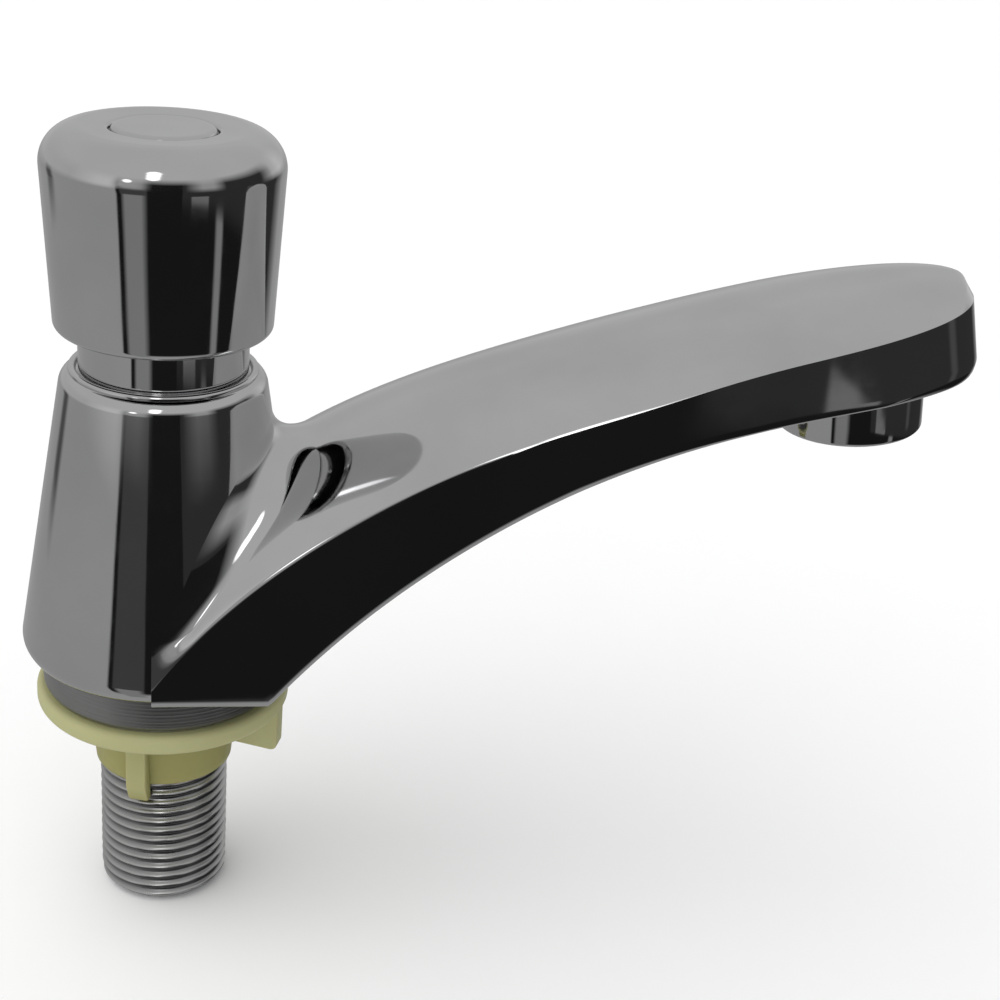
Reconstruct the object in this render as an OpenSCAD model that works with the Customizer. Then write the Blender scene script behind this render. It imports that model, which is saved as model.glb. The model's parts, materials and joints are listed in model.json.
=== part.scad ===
// Push timed basin tap. Millimetres, Z up, spout along +X.
// Z = 0 is the basin's deck, the underside of the locating washer's flange.

/* [Basin fixing] */
// Outside of the G 1/2 pipe thread
thread_d = 20.955; // [20:0.005:21.2]
// Pitch of that thread, 14 turns to the inch
thread_pitch = 1.814; // [1.3:0.001:2.4]
// Length of thread free for the back nut
thread_len = 20.5; // [14:0.5:40]
// Waterway through the shank
shank_bore_d = 15; // [11:0.5:16]
// Turned collar under the body
collar_d = 38.6; // [38:0.1:42]
// Collar height
collar_h = 6.2; // [5.5:0.1:9]
// Locating washer flange across
washer_d = 40.8; // [38:0.1:44]
// Locating washer flange thickness
washer_t = 3.4; // [2:0.1:5]
// Locating hub across, at the flange
hub_d = 24.4; // [24:0.1:28]
// Depth of the hub into the basin's hole
hub_len = 10.7; // [8:0.1:14]
// Deep fins across
fin_span = 27; // [26:0.5:30]
// Fin and lug thickness
fin_t = 3.3; // [2:0.1:4]
// Depth of the lugs that reach the flange's rim
lug_h = 7.2; // [4:0.1:8]
// Turn of the loose washer about the shank
washer_turn = -17; // [-90:1:90]

/* [Body] */
// Foot of the cone across
foot_d = 45.6; // [45:0.1:48]
// Cone across at its shoulder
shoulder_d = 31.8; // [31:0.1:33]
// Body height to the top of its lip
body_h = 48.2; // [46.5:0.1:52]
// Rounding of the foot's edge
foot_r = 3; // [2:0.1:4]
// Rounding of the shoulder
shoulder_r = 2.6; // [2:0.1:2.9]

/* [Spout] */
// Length over all, from the back of the cone's foot to the tip
overall_l = 150.7; // [146:0.1:157]
// Tip beyond the outlet axis
overhang = 15.9; // [15:0.1:18]
// Spout width at the foot
root_w = 44.9; // [44.4:0.1:45.4]
// Spout width where the round end starts
end_w = 38.8; // [36:0.1:42]
// Length of the round end
end_len = 31; // [28:0.5:34]
// Lean of the end wall, foot of it beyond its head
end_lean = 2.8; // [0:0.1:4]
// Squareness of the round end, 2 is an ellipse
end_square = 2.35; // [2:0.05:2.6]
// Side crease above the foot, at the tip
crease_h = 65.8; // [63:0.1:68]
// Sink of the crease at the tip under its power curve
crease_sink = 6.4; // [4:0.1:8]
// Crown of the top above the crease, at the root
crown_root = 14; // [11:0.5:15]
// Crown of the top where the round end starts
crown_end = 3.8; // [3:0.2:6]
// Underside arc radius
under_r = 142; // [138:1:150]
// Crest of the underside arc above the foot
under_h = 52.3; // [51:0.1:54]
// Fillet between cone and spout
root_r = 5; // [3:0.5:6]
// Waterway along the spout
way_d = 8; // [6:0.5:8.5]

/* [Outlet] */
// Boss under the spout
boss_d = 25.4; // [25:0.1:27]
// Boss face above the foot
boss_h = 46.6; // [45:0.1:48]
// Aerator housing across
aerator_d = 23; // [22:0.2:24]
// Housing below the boss
aerator_drop = 4.5; // [3:0.1:6]
// Lean of the outlet towards the tip
outlet_lean = 6; // [0:0.5:8]

/* [Push head] */
// Travel of the knob
travel = 5; // [3:0.25:5.5]
// Knob across at its top edge
knob_d = 35.8; // [35:0.1:38]
// Knob across at its rim
rim_d = 33; // [32:0.1:34]
// Knob height
knob_h = 30.8; // [30:0.2:33]
// Rounding of the knob's top edge
knob_r = 5.5; // [4:0.1:6]
// Index disc across
index_d = 15.4; // [14:0.1:17]
// Neck sleeve across
neck_d = 25.8; // [25.4:0.1:26]
// Spindle across
spindle_d = 8; // [7:0.1:8.4]
// Return spring wire
wire_d = 1.3; // [1:0.05:1.5]
// Coils of the return spring
coils = 4; // [3:1:5]

/* [Clearances] */
// Radial gap of a screwed or seated joint
fit = 0.05; // [0.03:0.01:0.08]
// Radial gap of the spindle in its bush
run_fit = 0.06; // [0.03:0.01:0.1]
// Radial gap of a seal on the face that it slides on
seal_fit = 0.1; // [0.05:0.01:0.15]
// Gap that shows round the index disc
index_gap = 0.25; // [0.15:0.05:0.4]
// Knob skirt to neck
skirt_gap = 1.5; // [0.5:0.05:1.7]
// Knob rim to lip at full travel
rim_gap = 1; // [0.3:0.1:1.5]

/* [Hidden] */
$fn = 96;
foot_z = washer_t + collar_h;
lip_z = foot_z + body_h;
foot_rad = foot_d / 2;
shoulder_rad = shoulder_d / 2;
shoulder_drop = 3.15;
shoulder_z = lip_z - shoulder_drop;
tip_x = overall_l - foot_rad - end_lean;
reach = tip_x - overhang;
end_x = tip_x - end_len;
edge_r = 1;

// shank and valve stack, from the collar up
spigot_r = 13;
well_r = 11;
well_floor = 3;
well_z = washer_t + well_floor;
strainer_t = 1.2;
valve_t = 3;
holder_t = 2;
nut_h = 4;
tail_stub = 0.8;
tail_gap = 0.2;
spigot_z = well_z + strainer_t + tail_gap + travel + tail_stub + nut_h + holder_t + valve_t;
gasket_t = 1;
seat_flange_t = 2.5;
web_z = spigot_z + gasket_t + seat_flange_t;
web_t = 6;
seat_r = 8.5;
seat_hole_r = 5.5;
seat_lip_w = 1.2;
chamber_r = 12;
chamber_z = web_z + web_t;
relief = 0.6;
relief_r = thread_d / 2 - relief;
fin_over = 2.3;
fin_h = hub_len + fin_over;
thread_gap = 0.5;
thread_top = -fin_h - thread_gap;
end_chamfer = 1;
thread_end = thread_top - thread_len - end_chamfer;
ridge_h = 0.64 * thread_pitch;
ridge_land = thread_pitch / 6;
ridge_flank = thread_pitch / 3;
ridges = floor((thread_len - ridge_land) / thread_pitch);

// bonnet, with the timing cylinder inside it
recess = 1;
recess_gap = 0.35;
recess_r = neck_d / 2 + recess_gap;
skirt_h = 10.5;
skirt_z = lip_z - recess - skirt_h;
groove_w = 1;
groove_h = 1.4;
groove_z = lip_z - recess - 3;
cyl_r = 8.6;
cyl_rise = 7;
cyl_top = lip_z + cyl_rise;
gland_r = 6;
gland_h = 2.3;
cyl_roof = 2;
gland_z = cyl_top + cyl_roof;
bush_z = gland_z + gland_h;
bush_h = 4.7;
neck_top = bush_z + bush_h;
spring_seat_t = 1;
spring_z = neck_top + spring_seat_t;

// push head
rim_z = lip_z + travel + rim_gap;
knob_z = rim_z + knob_h;
cap_r = knob_d / 2;
rim_r = rim_d / 2;
skirt_r = neck_d / 2 + skirt_gap;
index_t = 2;
index_z = knob_z - index_t;
head_r = 3.8;
head_h = 2.4;
head_gap = 0.3;
head_z = index_z - head_gap - head_h;
knob_roof = 1.6;
ceiling_z = head_z - knob_roof;
knob_boss_r = 6.6;
knob_boss_h = 3;
knob_boss_z = ceiling_z - knob_boss_h;
pin_h = 2;
screw_r = 2;
screw_len = 11;
spindle_r = spindle_d / 2;
spindle_gap = 0.4;
pin_r = 3;
stem_r = 3.2;
tail_r = 2.5;
piston_h = 5;
piston_hub = 5.5;
piston_lip = 1;
top_gap = 2;
piston_top = cyl_top - top_gap;
piston_z = piston_top - piston_h;
clip_t = 0.8;
clip_r = 2.8;
valve_r = 8;
valve_z = spigot_z - valve_t;
holder_z = valve_z - holder_t;
tail_z = holder_z - nut_h - tail_stub;

// outlet
boss_z = foot_z + boss_h;
boss_r = boss_d / 2;
aerator_step = 1;
pocket_r = aerator_d / 2 - aerator_step;
pocket_h = 9;
out_well_r = 6.5;
out_well_h = 7.5;
out_gasket_t = 2;
housing_top = pocket_h - out_gasket_t;
housing_z = -aerator_drop;
housing_wall = 1.3;
cage_r = pocket_r - housing_wall;
screen_t = 0.5;
diffuser_t = 2.4;
housing_lip = 1;
insert_z = housing_z + housing_lip;
insert_h = housing_top - diffuser_t - screen_t - insert_z;

// waterway from the chamber to the outlet well
way_in = way_d / 2;
way_start = [way_in, 0, chamber_z + way_in];
way_drop = 2.5;
way_end = [reach, 0, boss_z + pocket_h + out_well_h - way_drop];

function arc(cx, cz, r, a, b, n) =
    [for (i = [0:n]) [cx + r * cos(a + (b - a) * i / n), cz + r * sin(a + (b - a) * i / n)]];

cone_lean = atan((foot_rad - shoulder_rad) / (shoulder_z - foot_z));
function cone_r(z) = foot_rad + (shoulder_rad - foot_rad) * (z - foot_z) / (shoulder_z - foot_z);

// Spout: half width in plan, straight taper and then a squared ellipse.
function end_u(x) = max(0, x - end_x) / end_len;
function half_w(x) =
    x < end_x ? (root_w + (end_w - root_w) * x / end_x) / 2
    : end_w / 2 * pow(1 - pow(end_u(x), end_square), 1 / end_square);

// Side crease: straight up from the foot, then a power curve that sinks a little near the tip.
crease_pow = 0.59;
crease_start = 2;
crease_bend = 2.5;
crease_gain = (crease_h + crease_sink - crease_start) / pow(tip_x, crease_pow);
crease_slope = crease_gain * crease_pow * pow(crease_bend, crease_pow - 1);
function crease_z(x) = foot_z + crease_start + crease_gain * pow(max(crease_bend, x), crease_pow)
    + crease_slope * min(0, x - crease_bend) - crease_sink * pow(max(0, x) / tip_x, 3);

function crown(x) = (crown_root + (crown_end - crown_root) * min(1, max(0, x) / end_x))
    * sqrt(max(0, 1 - pow(end_u(x), 2)));

// Underside, an arc that crests just past the tip.
under_past = 2;
under_x = tip_x + under_past;
function under_z(x) =
    max(foot_z, foot_z + under_h - under_r + sqrt(max(0, pow(under_r, 2) - pow(x - under_x, 2))));

function dome_z(x, y) = crease_z(x) + crown(x) * (1 - pow(y / max(half_w(x), abs(y), 0.01), 2));
function root_lift(x, y) =
    let (r = root_r * (1 - pow(min(1, abs(y) / max(half_w(x), 0.01)), 4)),
        d = norm([x, y]) - cone_r(dome_z(x, y) + r))
    d > r ? 0 : r - sqrt(max(0, pow(r, 2) - pow(r - max(0, d), 2)));

// The top is a net of bowed lines: round the cone at the root, round the end at the tip.
across = 26;
root_n = 15;
mid_n = 13;
root_from = -2.2;
root_to = 12;
root_bow = 13;
stations = concat(
    [for (i = [0:root_n - 1]) root_from + (root_to - root_from) * i / root_n],
    [for (i = [0:mid_n]) root_to + (end_x - root_to) * i / mid_n]
);

function squared(v) = sign(v) * pow(abs(v), 2 / end_square);
function bow(s) = root_bow + (end_len - root_bow) * max(0, s) / end_x;
function plan(s, i, inset, lean) =
    let (a = 180 * i / across - 90)
    [s + (bow(s) - inset + lean * max(0, s) / end_x) * squared(cos(a)),
        (half_w(s) - inset) * squared(sin(a))];
function top_point(s, i) =
    let (p = plan(s, i, 0, 0))
    [p.x, p.y, dome_z(p.x, p.y) + root_lift(p.x, p.y)];
function wall_point(s, i) =
    let (p = plan(s, i, 0, end_lean))
    [p.x, p.y, under_z(p.x) + edge_r];
function under_point(s, i) =
    let (p = plan(s, i, edge_r, end_lean))
    [p.x, p.y, under_z(p.x)];

function section(s) = concat(
    [for (i = [0:across]) top_point(s, i)],
    [wall_point(s, across)],
    [for (i = [across:-1:0]) under_point(s, i)],
    [wall_point(s, 0)]
);

module spout() {
    rings = [for (s = stations) section(s)];
    n = len(rings[0]);
    last = (len(rings) - 1) * n;
    end_wall = len(rings) * n;
    wall_l = n - 1;
    wall_r = across + 1;
    function low(i) = n - 2 - i;
    function rim(i) =
        i == 0 ? last + wall_l : i == across ? last + wall_r : end_wall + i - 1;
    polyhedron(
        points = concat(
            [for (r = rings) each r],
            [for (i = [1:across - 1]) wall_point(end_x, i)]
        ),
        faces = concat(
            sleeve(len(rings), n),
            [for (i = [0:across - 1]) each quad(i + 1, i, low(i), low(i + 1))],
            [[0, wall_l, low(0)], [across, low(across), wall_r]],
            [for (i = [0:across - 1]) each quad(last + i, last + i + 1, rim(i + 1), rim(i))],
            [for (i = [0:across - 1]) each quad(rim(i), rim(i + 1), last + low(i + 1), last + low(i))]
        )
    );
}

function quad(a, b, c, d) = [[a, b, c], [a, c, d]];
function sleeve(rows, n) = [for (k = [0:rows - 2], i = [0:n - 1])
    each quad(k * n + i, k * n + (i + 1) % n, (k + 1) * n + (i + 1) % n, (k + 1) * n + i)];

module loft(rings) {
    n = len(rings[0]);
    last = (len(rings) - 1) * n;
    polyhedron(
        points = [for (r = rings) each r],
        faces = concat(
            [[for (i = [n - 1:-1:0]) i]],
            sleeve(len(rings), n),
            [[for (i = [0:n - 1]) last + i]]
        )
    );
}

module spin(points) {
    rotate_extrude() polygon(points);
}

module ring(outer, inner, z, h) {
    translate([0, 0, z])
        linear_extrude(h)
            difference() {
                circle(outer);
                circle(inner);
            }
}

module torus(big, small, z) {
    translate([0, 0, z]) rotate_extrude() translate([big, 0]) circle(small, $fn = 24);
}

// Holes in hexagonal order, one more ring of six each time
module hole_field(rings, field_r) {
    rim_share = 0.75;
    hole_share = 0.34;
    pitch = field_r / (rings + rim_share);
    circle(hole_share * pitch, $fn = 24);
    for (k = [1:rings], i = [0:6 * k - 1])
        rotate(360 * i / (6 * k)) translate([k * pitch, 0]) circle(hole_share * pitch, $fn = 24);
}

// Local Z = 0 is the boss face
module at_outlet() {
    translate([reach, 0, boss_z]) rotate([0, -outlet_lean, 0]) children();
}

module rod(a, b, r) {
    v = b - a;
    translate(a)
        rotate([0, acos(v.z / norm(v)), atan2(v.y, v.x)])
            cylinder(h = norm(v), r = r);
}

module body() {
    lip_w = 0.6;
    lip_under = 20;
    lip_open = 30;
    shoulder_turn = 63;
    bead_r = recess_r + lip_w;
    boss_edge = 0.5;
    color("silver")
    difference() {
        union() {
            spin(concat(
                [[0, foot_z]],
                arc(cone_r(foot_z + foot_r) - foot_r, foot_z + foot_r, foot_r, -90, cone_lean, 8),
                arc(shoulder_rad - shoulder_r, shoulder_z, shoulder_r, cone_lean, shoulder_turn, 7),
                arc(bead_r, lip_z - lip_w, lip_w, -lip_under, 180 - lip_open, 8),
                [[0, lip_z - lip_w]]
            ));
            spout();
            at_outlet()
                spin([[0, 0], [boss_r - boss_edge, 0], [boss_r, boss_edge], [boss_r, pocket_h + 1],
                    [0, pocket_h + 1]]);
        }
        // socket for the shank, and the bore for the seat
        translate([0, 0, foot_z - 1]) cylinder(h = web_z - foot_z + 1, r = spigot_r + fit);
        translate([0, 0, web_z - 1]) cylinder(h = web_t + 2, r = seat_r + fit);
        // valve chamber, bonnet thread and recess
        translate([0, 0, chamber_z]) cylinder(h = body_h, r = chamber_r);
        translate([0, 0, lip_z - recess]) cylinder(h = recess + 1, r = recess_r);
        // waterway and outlet
        rod(way_start, way_end, way_d / 2);
        at_outlet() translate([0, 0, -1]) cylinder(h = pocket_h + 1, r = pocket_r + fit);
        at_outlet() translate([0, 0, pocket_h - 1]) cylinder(h = out_well_h + 1, r = out_well_r);
    }
}

// The thread as level ridges of the standard's height and flanks
module shank() {
    chamfer = 0.9;
    crest_r = thread_d / 2;
    valley_r = crest_r - ridge_h;
    function ridge(z) = [[crest_r, z], [crest_r, z + ridge_land], [valley_r, z + ridge_land + ridge_flank],
        [valley_r, z + 2 * ridge_land + ridge_flank]];
    color("lightgray")
    spin([
        [shank_bore_d / 2, thread_end],
        [crest_r - end_chamfer, thread_end],
        for (k = [0:ridges - 1]) each ridge(thread_end + end_chamfer + k * thread_pitch),
        [crest_r, thread_end + end_chamfer + ridges * thread_pitch],
        [crest_r, thread_top],
        [relief_r, thread_top],
        [relief_r, washer_t],
        [collar_d / 2 - chamfer, washer_t],
        [collar_d / 2, washer_t + chamfer * 2],
        [collar_d / 2, foot_z],
        [spigot_r, foot_z],
        [spigot_r, spigot_z],
        [well_r, spigot_z],
        [well_r, well_z],
        [shank_bore_d / 2, well_z]
    ]);
}

module locating_washer() {
    tip_wall = 0.4;
    bore_gap = 0.3;
    bore_r = thread_d / 2 + bore_gap;
    round = 0.8;
    lug_inset = 0.4;
    lug_r = washer_d / 2 - lug_inset;
    lug_edge = 1.2;
    fin_edge = 0.8;
    color("khaki")
    rotate(washer_turn)
    difference() {
        union() {
            spin(concat(
                [[0, 0]],
                arc(washer_d / 2 - round, round, round, -90, 0, 4),
                arc(washer_d / 2 - round, washer_t - round, round, 0, 90, 4),
                [[0, washer_t]]
            ));
            translate([0, 0, -hub_len])
                cylinder(h = hub_len + 1, r1 = bore_r + tip_wall, r2 = hub_d / 2);
            for (a = [0, 180])
                rotate([90, 0, a])
                    linear_extrude(fin_t, center = true)
                        polygon([[bore_r - 1, 1], [bore_r - 1, -lug_h], [lug_r - lug_edge, -lug_h],
                            [lug_r, -lug_h + lug_edge], [lug_r, 1]]);
            for (a = [90, 270])
                rotate([90, 0, a])
                    linear_extrude(fin_t, center = true)
                        polygon([[bore_r - 1, 1], [bore_r - 1, -fin_h], [fin_span / 2 - fin_edge, -fin_h],
                            [fin_span / 2, -fin_h + 2 * fin_edge], [fin_span / 2, 1]]);
        }
        translate([0, 0, -fin_h - 1]) cylinder(h = fin_h + washer_t + 2, r = bore_r);
    }
}

module seat_gasket() {
    color("dimgray") ring(spigot_r - seal_fit, well_r + seal_fit, spigot_z, gasket_t);
}

module valve_seat() {
    flange_z = spigot_z + gasket_t;
    flange_r = spigot_r - seal_fit;
    rise = 0.5;
    color("goldenrod")
    spin([
        [seat_hole_r, spigot_z + fit],
        [seat_hole_r + seat_lip_w, spigot_z + fit],
        [seat_hole_r + seat_lip_w, flange_z],
        [flange_r, flange_z],
        [flange_r, web_z],
        [seat_r, web_z],
        [seat_r, chamber_z + rise],
        [seat_hole_r, chamber_z + rise]
    ]);
}

module strainer() {
    color("gainsboro")
    translate([0, 0, well_z])
        linear_extrude(strainer_t)
            difference() {
                circle(well_r - fit);
                hole_field(3, shank_bore_d / 2);
            }
}

module bonnet() {
    outer = chamber_r - fit;
    edge = 0.8;
    color("silver")
    spin([
        [cyl_r, skirt_z],
        [outer - edge, skirt_z],
        [outer, skirt_z + edge],
        [outer, groove_z],
        [outer - groove_w, groove_z],
        [outer - groove_w, groove_z + groove_h],
        [outer, groove_z + groove_h],
        [outer, lip_z - recess],
        [neck_d / 2, lip_z - recess],
        [neck_d / 2, neck_top - edge],
        [neck_d / 2 - edge, neck_top],
        [gland_r + fit, neck_top],
        [gland_r + fit, gland_z],
        [spindle_r + spindle_gap, gland_z],
        [spindle_r + spindle_gap, cyl_top],
        [cyl_r, cyl_top]
    ]);
}

module bonnet_oring() {
    small = groove_w / 2;
    color("dimgray") torus(chamber_r - fit - small, small, groove_z + groove_h / 2);
}

module spindle_oring() {
    small = (gland_r - spindle_r - seal_fit) / 2;
    color("dimgray") torus(gland_r - small, small, gland_z + gland_h / 2);
}

module guide_bush() {
    color("ivory") ring(gland_r, spindle_r + run_fit, bush_z, bush_h);
}

module spring_seat() {
    color("gainsboro") ring(neck_d / 2 - 1.2, spindle_r + spindle_gap, neck_top, spring_seat_t);
}

// One unbroken tube: coil centres rise faster in the middle than at the ends.
module return_spring() {
    coil_r = 9;
    sides = 6;
    per_turn = 8;
    slack = 0.22;
    rise = ceiling_z - spring_z - wire_d;
    function coil(t) = spring_z + wire_d / 2 + rise * (t - slack * sin(360 * t) / (2 * PI));
    steps = coils * per_turn;
    bend = cos(180 / sides);
    rings = [for (k = [0:steps])
        let (t = k / steps, a = 360 * coils * t)
        [for (s = [0:sides - 1])
            let (b = 360 * s / sides, r = coil_r + wire_d / 2 * cos(b))
            [r * cos(a), r * sin(a), coil(t) + wire_d / 2 * bend * sin(b)]]];
    least = min([for (k = [0:steps - per_turn]) coil((k + per_turn) / steps) - coil(k / steps)]) - wire_d;
    echo(least_gap_between_coils = least);
    color("lightgray") loft(rings);
}

module knob() {
    dome = 0.5;
    edge_z = knob_z - dome - knob_r;
    rim_edge = 1.6;
    rim_turn = 80;
    mouth = 0.5;
    sunk = 0.15;
    color("silver")
    spin(concat(
        [[screw_r + head_gap, knob_boss_z + pin_h], [screw_r + head_gap, head_z],
            [head_r + head_gap, head_z], [head_r + head_gap, index_z],
            [index_d / 2 + index_gap, index_z], [index_d / 2 + index_gap, knob_z - sunk]],
        arc(cap_r - knob_r, edge_z, knob_r, 90, 3, 8),
        arc(rim_r - rim_edge, rim_z + rim_edge, rim_edge, 0, -rim_turn, 5),
        [[skirt_r + mouth, rim_z], [skirt_r, rim_z + mouth], [skirt_r, ceiling_z],
            [knob_boss_r, ceiling_z], [knob_boss_r, knob_boss_z], [pin_r + fit, knob_boss_z],
            [pin_r + fit, knob_boss_z + pin_h]]
    ));
}

module index_disc() {
    edge = 0.4;
    dish = 0.05;
    color("silver")
    spin([[0, index_z], [index_d / 2, index_z], [index_d / 2, knob_z - edge],
        [index_d / 2 - edge, knob_z - dish], [index_d / 4, knob_z], [0, knob_z]]);
}

module knob_screw() {
    drive = 2.5;
    drive_h = 1.4;
    color("gainsboro")
    difference() {
        union() {
            translate([0, 0, head_z]) cylinder(h = head_h, r = head_r);
            translate([0, 0, head_z - screw_len]) cylinder(h = screw_len + 1, r = screw_r);
        }
        translate([0, 0, head_z + head_h - drive_h])
            cylinder(h = drive_h + 1, r = drive / 2 / cos(30), $fn = 6);
    }
}

module spindle() {
    hole_z = head_z - screw_len - 1;
    pin_top = knob_boss_z + pin_h;
    edge = 0.5;
    color("gainsboro")
    spin([
        [0, tail_z],
        [tail_r - edge, tail_z],
        [tail_r, tail_z + edge],
        [tail_r, spigot_z],
        [stem_r, spigot_z],
        [stem_r, piston_z - clip_t],
        [clip_r, piston_z - clip_t],
        [clip_r, piston_z],
        [stem_r, piston_z],
        [stem_r, piston_top],
        [spindle_r, piston_top],
        [spindle_r, knob_boss_z],
        [pin_r, knob_boss_z],
        [pin_r, pin_top],
        [screw_r + fit, pin_top],
        [screw_r + fit, hole_z],
        [0, hole_z]
    ]);
}

module piston() {
    low_r = cyl_r - 0.35;
    top_r = cyl_r - 1.6;
    color("whitesmoke")
    spin([
        [stem_r + fit, piston_z],
        [low_r, piston_z],
        [low_r, piston_z + piston_lip],
        [piston_hub, piston_z + piston_lip],
        [piston_hub, piston_top - piston_lip],
        [top_r, piston_top - piston_lip],
        [top_r, piston_top],
        [stem_r + fit, piston_top]
    ]);
}

module lip_seal() {
    inner = piston_hub + fit;
    base = piston_z + piston_lip;
    heel = base + 1.2;
    top = piston_top - piston_lip - 0.2;
    outer = cyl_r - seal_fit;
    flare = 0.4;
    lip = 0.6;
    color("dimgray")
    spin([[inner, base], [outer - flare, base], [outer, top], [outer - lip, top],
        [outer - flare - lip, heel], [inner, heel]]);
}

module piston_clip() {
    outer = 5;
    mouth_w = 4.6;
    color("lightgray")
    translate([0, 0, piston_z - clip_t])
        linear_extrude(clip_t)
            difference() {
                circle(outer);
                circle(clip_r + fit);
                translate([0, -mouth_w / 2]) square([outer + 1, mouth_w]);
            }
}

module valve_holder() {
    wall = 0.8;
    grip = 1.5;
    color("goldenrod")
    spin([[tail_r + fit, holder_z], [valve_r + wall, holder_z], [valve_r + wall, valve_z + grip],
        [valve_r + fit, valve_z + grip], [valve_r + fit, valve_z], [tail_r + fit, valve_z]]);
}

module valve_washer() {
    color("dimgray") ring(valve_r, tail_r + fit, valve_z, valve_t);
}

module valve_nut() {
    flats = 8;
    color("goldenrod")
    translate([0, 0, holder_z - nut_h])
        linear_extrude(nut_h)
            difference() {
                circle(flats / 2 / cos(30), $fn = 6);
                circle(tail_r + fit);
            }
}

module aerator_housing() {
    lip = 0.9;
    edge = 0.6;
    color("silver")
    at_outlet()
    spin([
        [cage_r - lip, housing_z],
        [aerator_d / 2 - edge, housing_z],
        [aerator_d / 2, housing_z + edge],
        [aerator_d / 2, 0],
        [pocket_r, 0],
        [pocket_r, housing_top],
        [cage_r, housing_top],
        [cage_r, insert_z],
        [cage_r - lip, insert_z]
    ]);
}

// A cage of concentric rings on radial ribs
module aerator_insert() {
    rib_t = 0.8;
    ribs = 12;
    wall = 0.8;
    outer = cage_r - fit;
    step = (outer - wall) / 3;
    color("whitesmoke")
    at_outlet() translate([0, 0, insert_z])
        linear_extrude(insert_h) {
            for (k = [1:3])
                difference() {
                    circle(k * step + wall);
                    circle(k * step);
                }
            circle(wall * 1.5);
            for (i = [0:ribs - 1])
                rotate(360 * (i + 0.5) / ribs)
                    translate([0, -rib_t / 2]) square([outer - wall / 2, rib_t]);
        }
}

module aerator_screen() {
    color("lightgray")
    at_outlet() translate([0, 0, insert_z + insert_h])
        linear_extrude(screen_t)
            difference() {
                circle(cage_r - fit);
                hole_field(4, cage_r - fit);
            }
}

module aerator_diffuser() {
    color("ivory")
    at_outlet() translate([0, 0, housing_top - diffuser_t])
        linear_extrude(diffuser_t)
            difference() {
                circle(cage_r - fit);
                hole_field(2, out_well_r);
            }
}

module aerator_gasket() {
    color("dimgray") at_outlet() ring(pocket_r - seal_fit, out_well_r + 0.4, housing_top, out_gasket_t);
}

body();
shank();
locating_washer();
seat_gasket();
valve_seat();
strainer();
bonnet();
bonnet_oring();
spindle_oring();
guide_bush();
spring_seat();
return_spring();
knob();
index_disc();
knob_screw();
spindle();
piston();
lip_seal();
piston_clip();
valve_holder();
valve_washer();
valve_nut();
aerator_housing();
aerator_insert();
aerator_screen();
aerator_diffuser();
aerator_gasket();
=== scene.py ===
import json
import math

import bmesh
import bpy
import numpy as np
from mathutils import Matrix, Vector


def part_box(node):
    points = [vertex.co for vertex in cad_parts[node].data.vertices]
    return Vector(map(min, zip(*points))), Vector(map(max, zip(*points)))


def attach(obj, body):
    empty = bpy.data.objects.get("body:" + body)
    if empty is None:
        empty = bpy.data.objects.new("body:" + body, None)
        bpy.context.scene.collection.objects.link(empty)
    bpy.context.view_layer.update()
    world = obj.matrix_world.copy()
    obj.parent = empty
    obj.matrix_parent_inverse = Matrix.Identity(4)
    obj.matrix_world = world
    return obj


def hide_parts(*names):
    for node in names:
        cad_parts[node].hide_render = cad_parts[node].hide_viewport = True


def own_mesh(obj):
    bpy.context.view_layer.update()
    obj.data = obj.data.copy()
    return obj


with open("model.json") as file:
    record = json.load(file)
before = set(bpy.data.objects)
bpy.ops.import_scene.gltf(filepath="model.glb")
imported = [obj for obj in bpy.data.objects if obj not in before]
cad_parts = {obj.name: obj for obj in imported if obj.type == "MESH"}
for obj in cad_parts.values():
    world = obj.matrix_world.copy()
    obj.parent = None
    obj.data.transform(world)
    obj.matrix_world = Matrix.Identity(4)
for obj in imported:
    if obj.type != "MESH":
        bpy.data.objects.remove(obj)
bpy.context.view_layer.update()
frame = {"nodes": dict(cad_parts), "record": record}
mm = 0.001


def boxOf(node):  # lowest and highest corner of a CAD node, in mm
    low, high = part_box(node)
    return np.array(low) / mm, np.array(high) / mm


# Points of an arc in a profile: (cx + r cos a, cz + r sin a), a from start to end in degrees
def arc(cx, cz, r, start, end, n=14):
    a = np.radians(np.linspace(start, end, n))
    return np.stack([cx + r * np.cos(a), cz + r * np.sin(a)], 1)


# Straight stretch of a profile, n points from p to q
def line(p, q, n=2):
    t = np.linspace(0, 1, n)[:, None]
    return np.array(p) * (1 - t) + np.array(q) * t


def path(*corners):  # corners of a profile, as they are
    return np.array(corners, float)


# Quadratic curve that rounds a corner: (1-t)^2 a + 2t(1-t) corner + t^2 b, one row of points for each t
def rounded(a, corner, b, n):
    t = np.linspace(0, 1, n)[:, None, None]
    return (1 - t) ** 2 * a + 2 * t * (1 - t) * corner + t ** 2 * b


# Profile carried round Z: (r cos a, r sin a, z). r may change with the angle, as a thread's does
def turned(r, z, steps=288):
    a = np.linspace(0, 2 * np.pi, steps, endpoint=False)
    r = np.broadcast_to(r, (len(z), steps))
    return np.stack([r * np.cos(a), r * np.sin(a), np.broadcast_to(z[:, None], r.shape)], -1)


def turnedProfile(profile, steps=288):  # rows of (r, z) carried round Z
    return turned(profile[:, :1], profile[:, 1], steps)


# Quads of a grid of points, closed across its columns, and across its rows where loop is set
def netFaces(rows, cols, loop):
    i = np.arange(rows if loop else rows - 1)[:, None]
    j = np.arange(cols)
    k, m = (i + 1) % rows, (j + 1) % cols
    return np.stack([i * cols + j, i * cols + m, k * cols + m, k * cols + j], -1).reshape(-1, 4)


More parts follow.
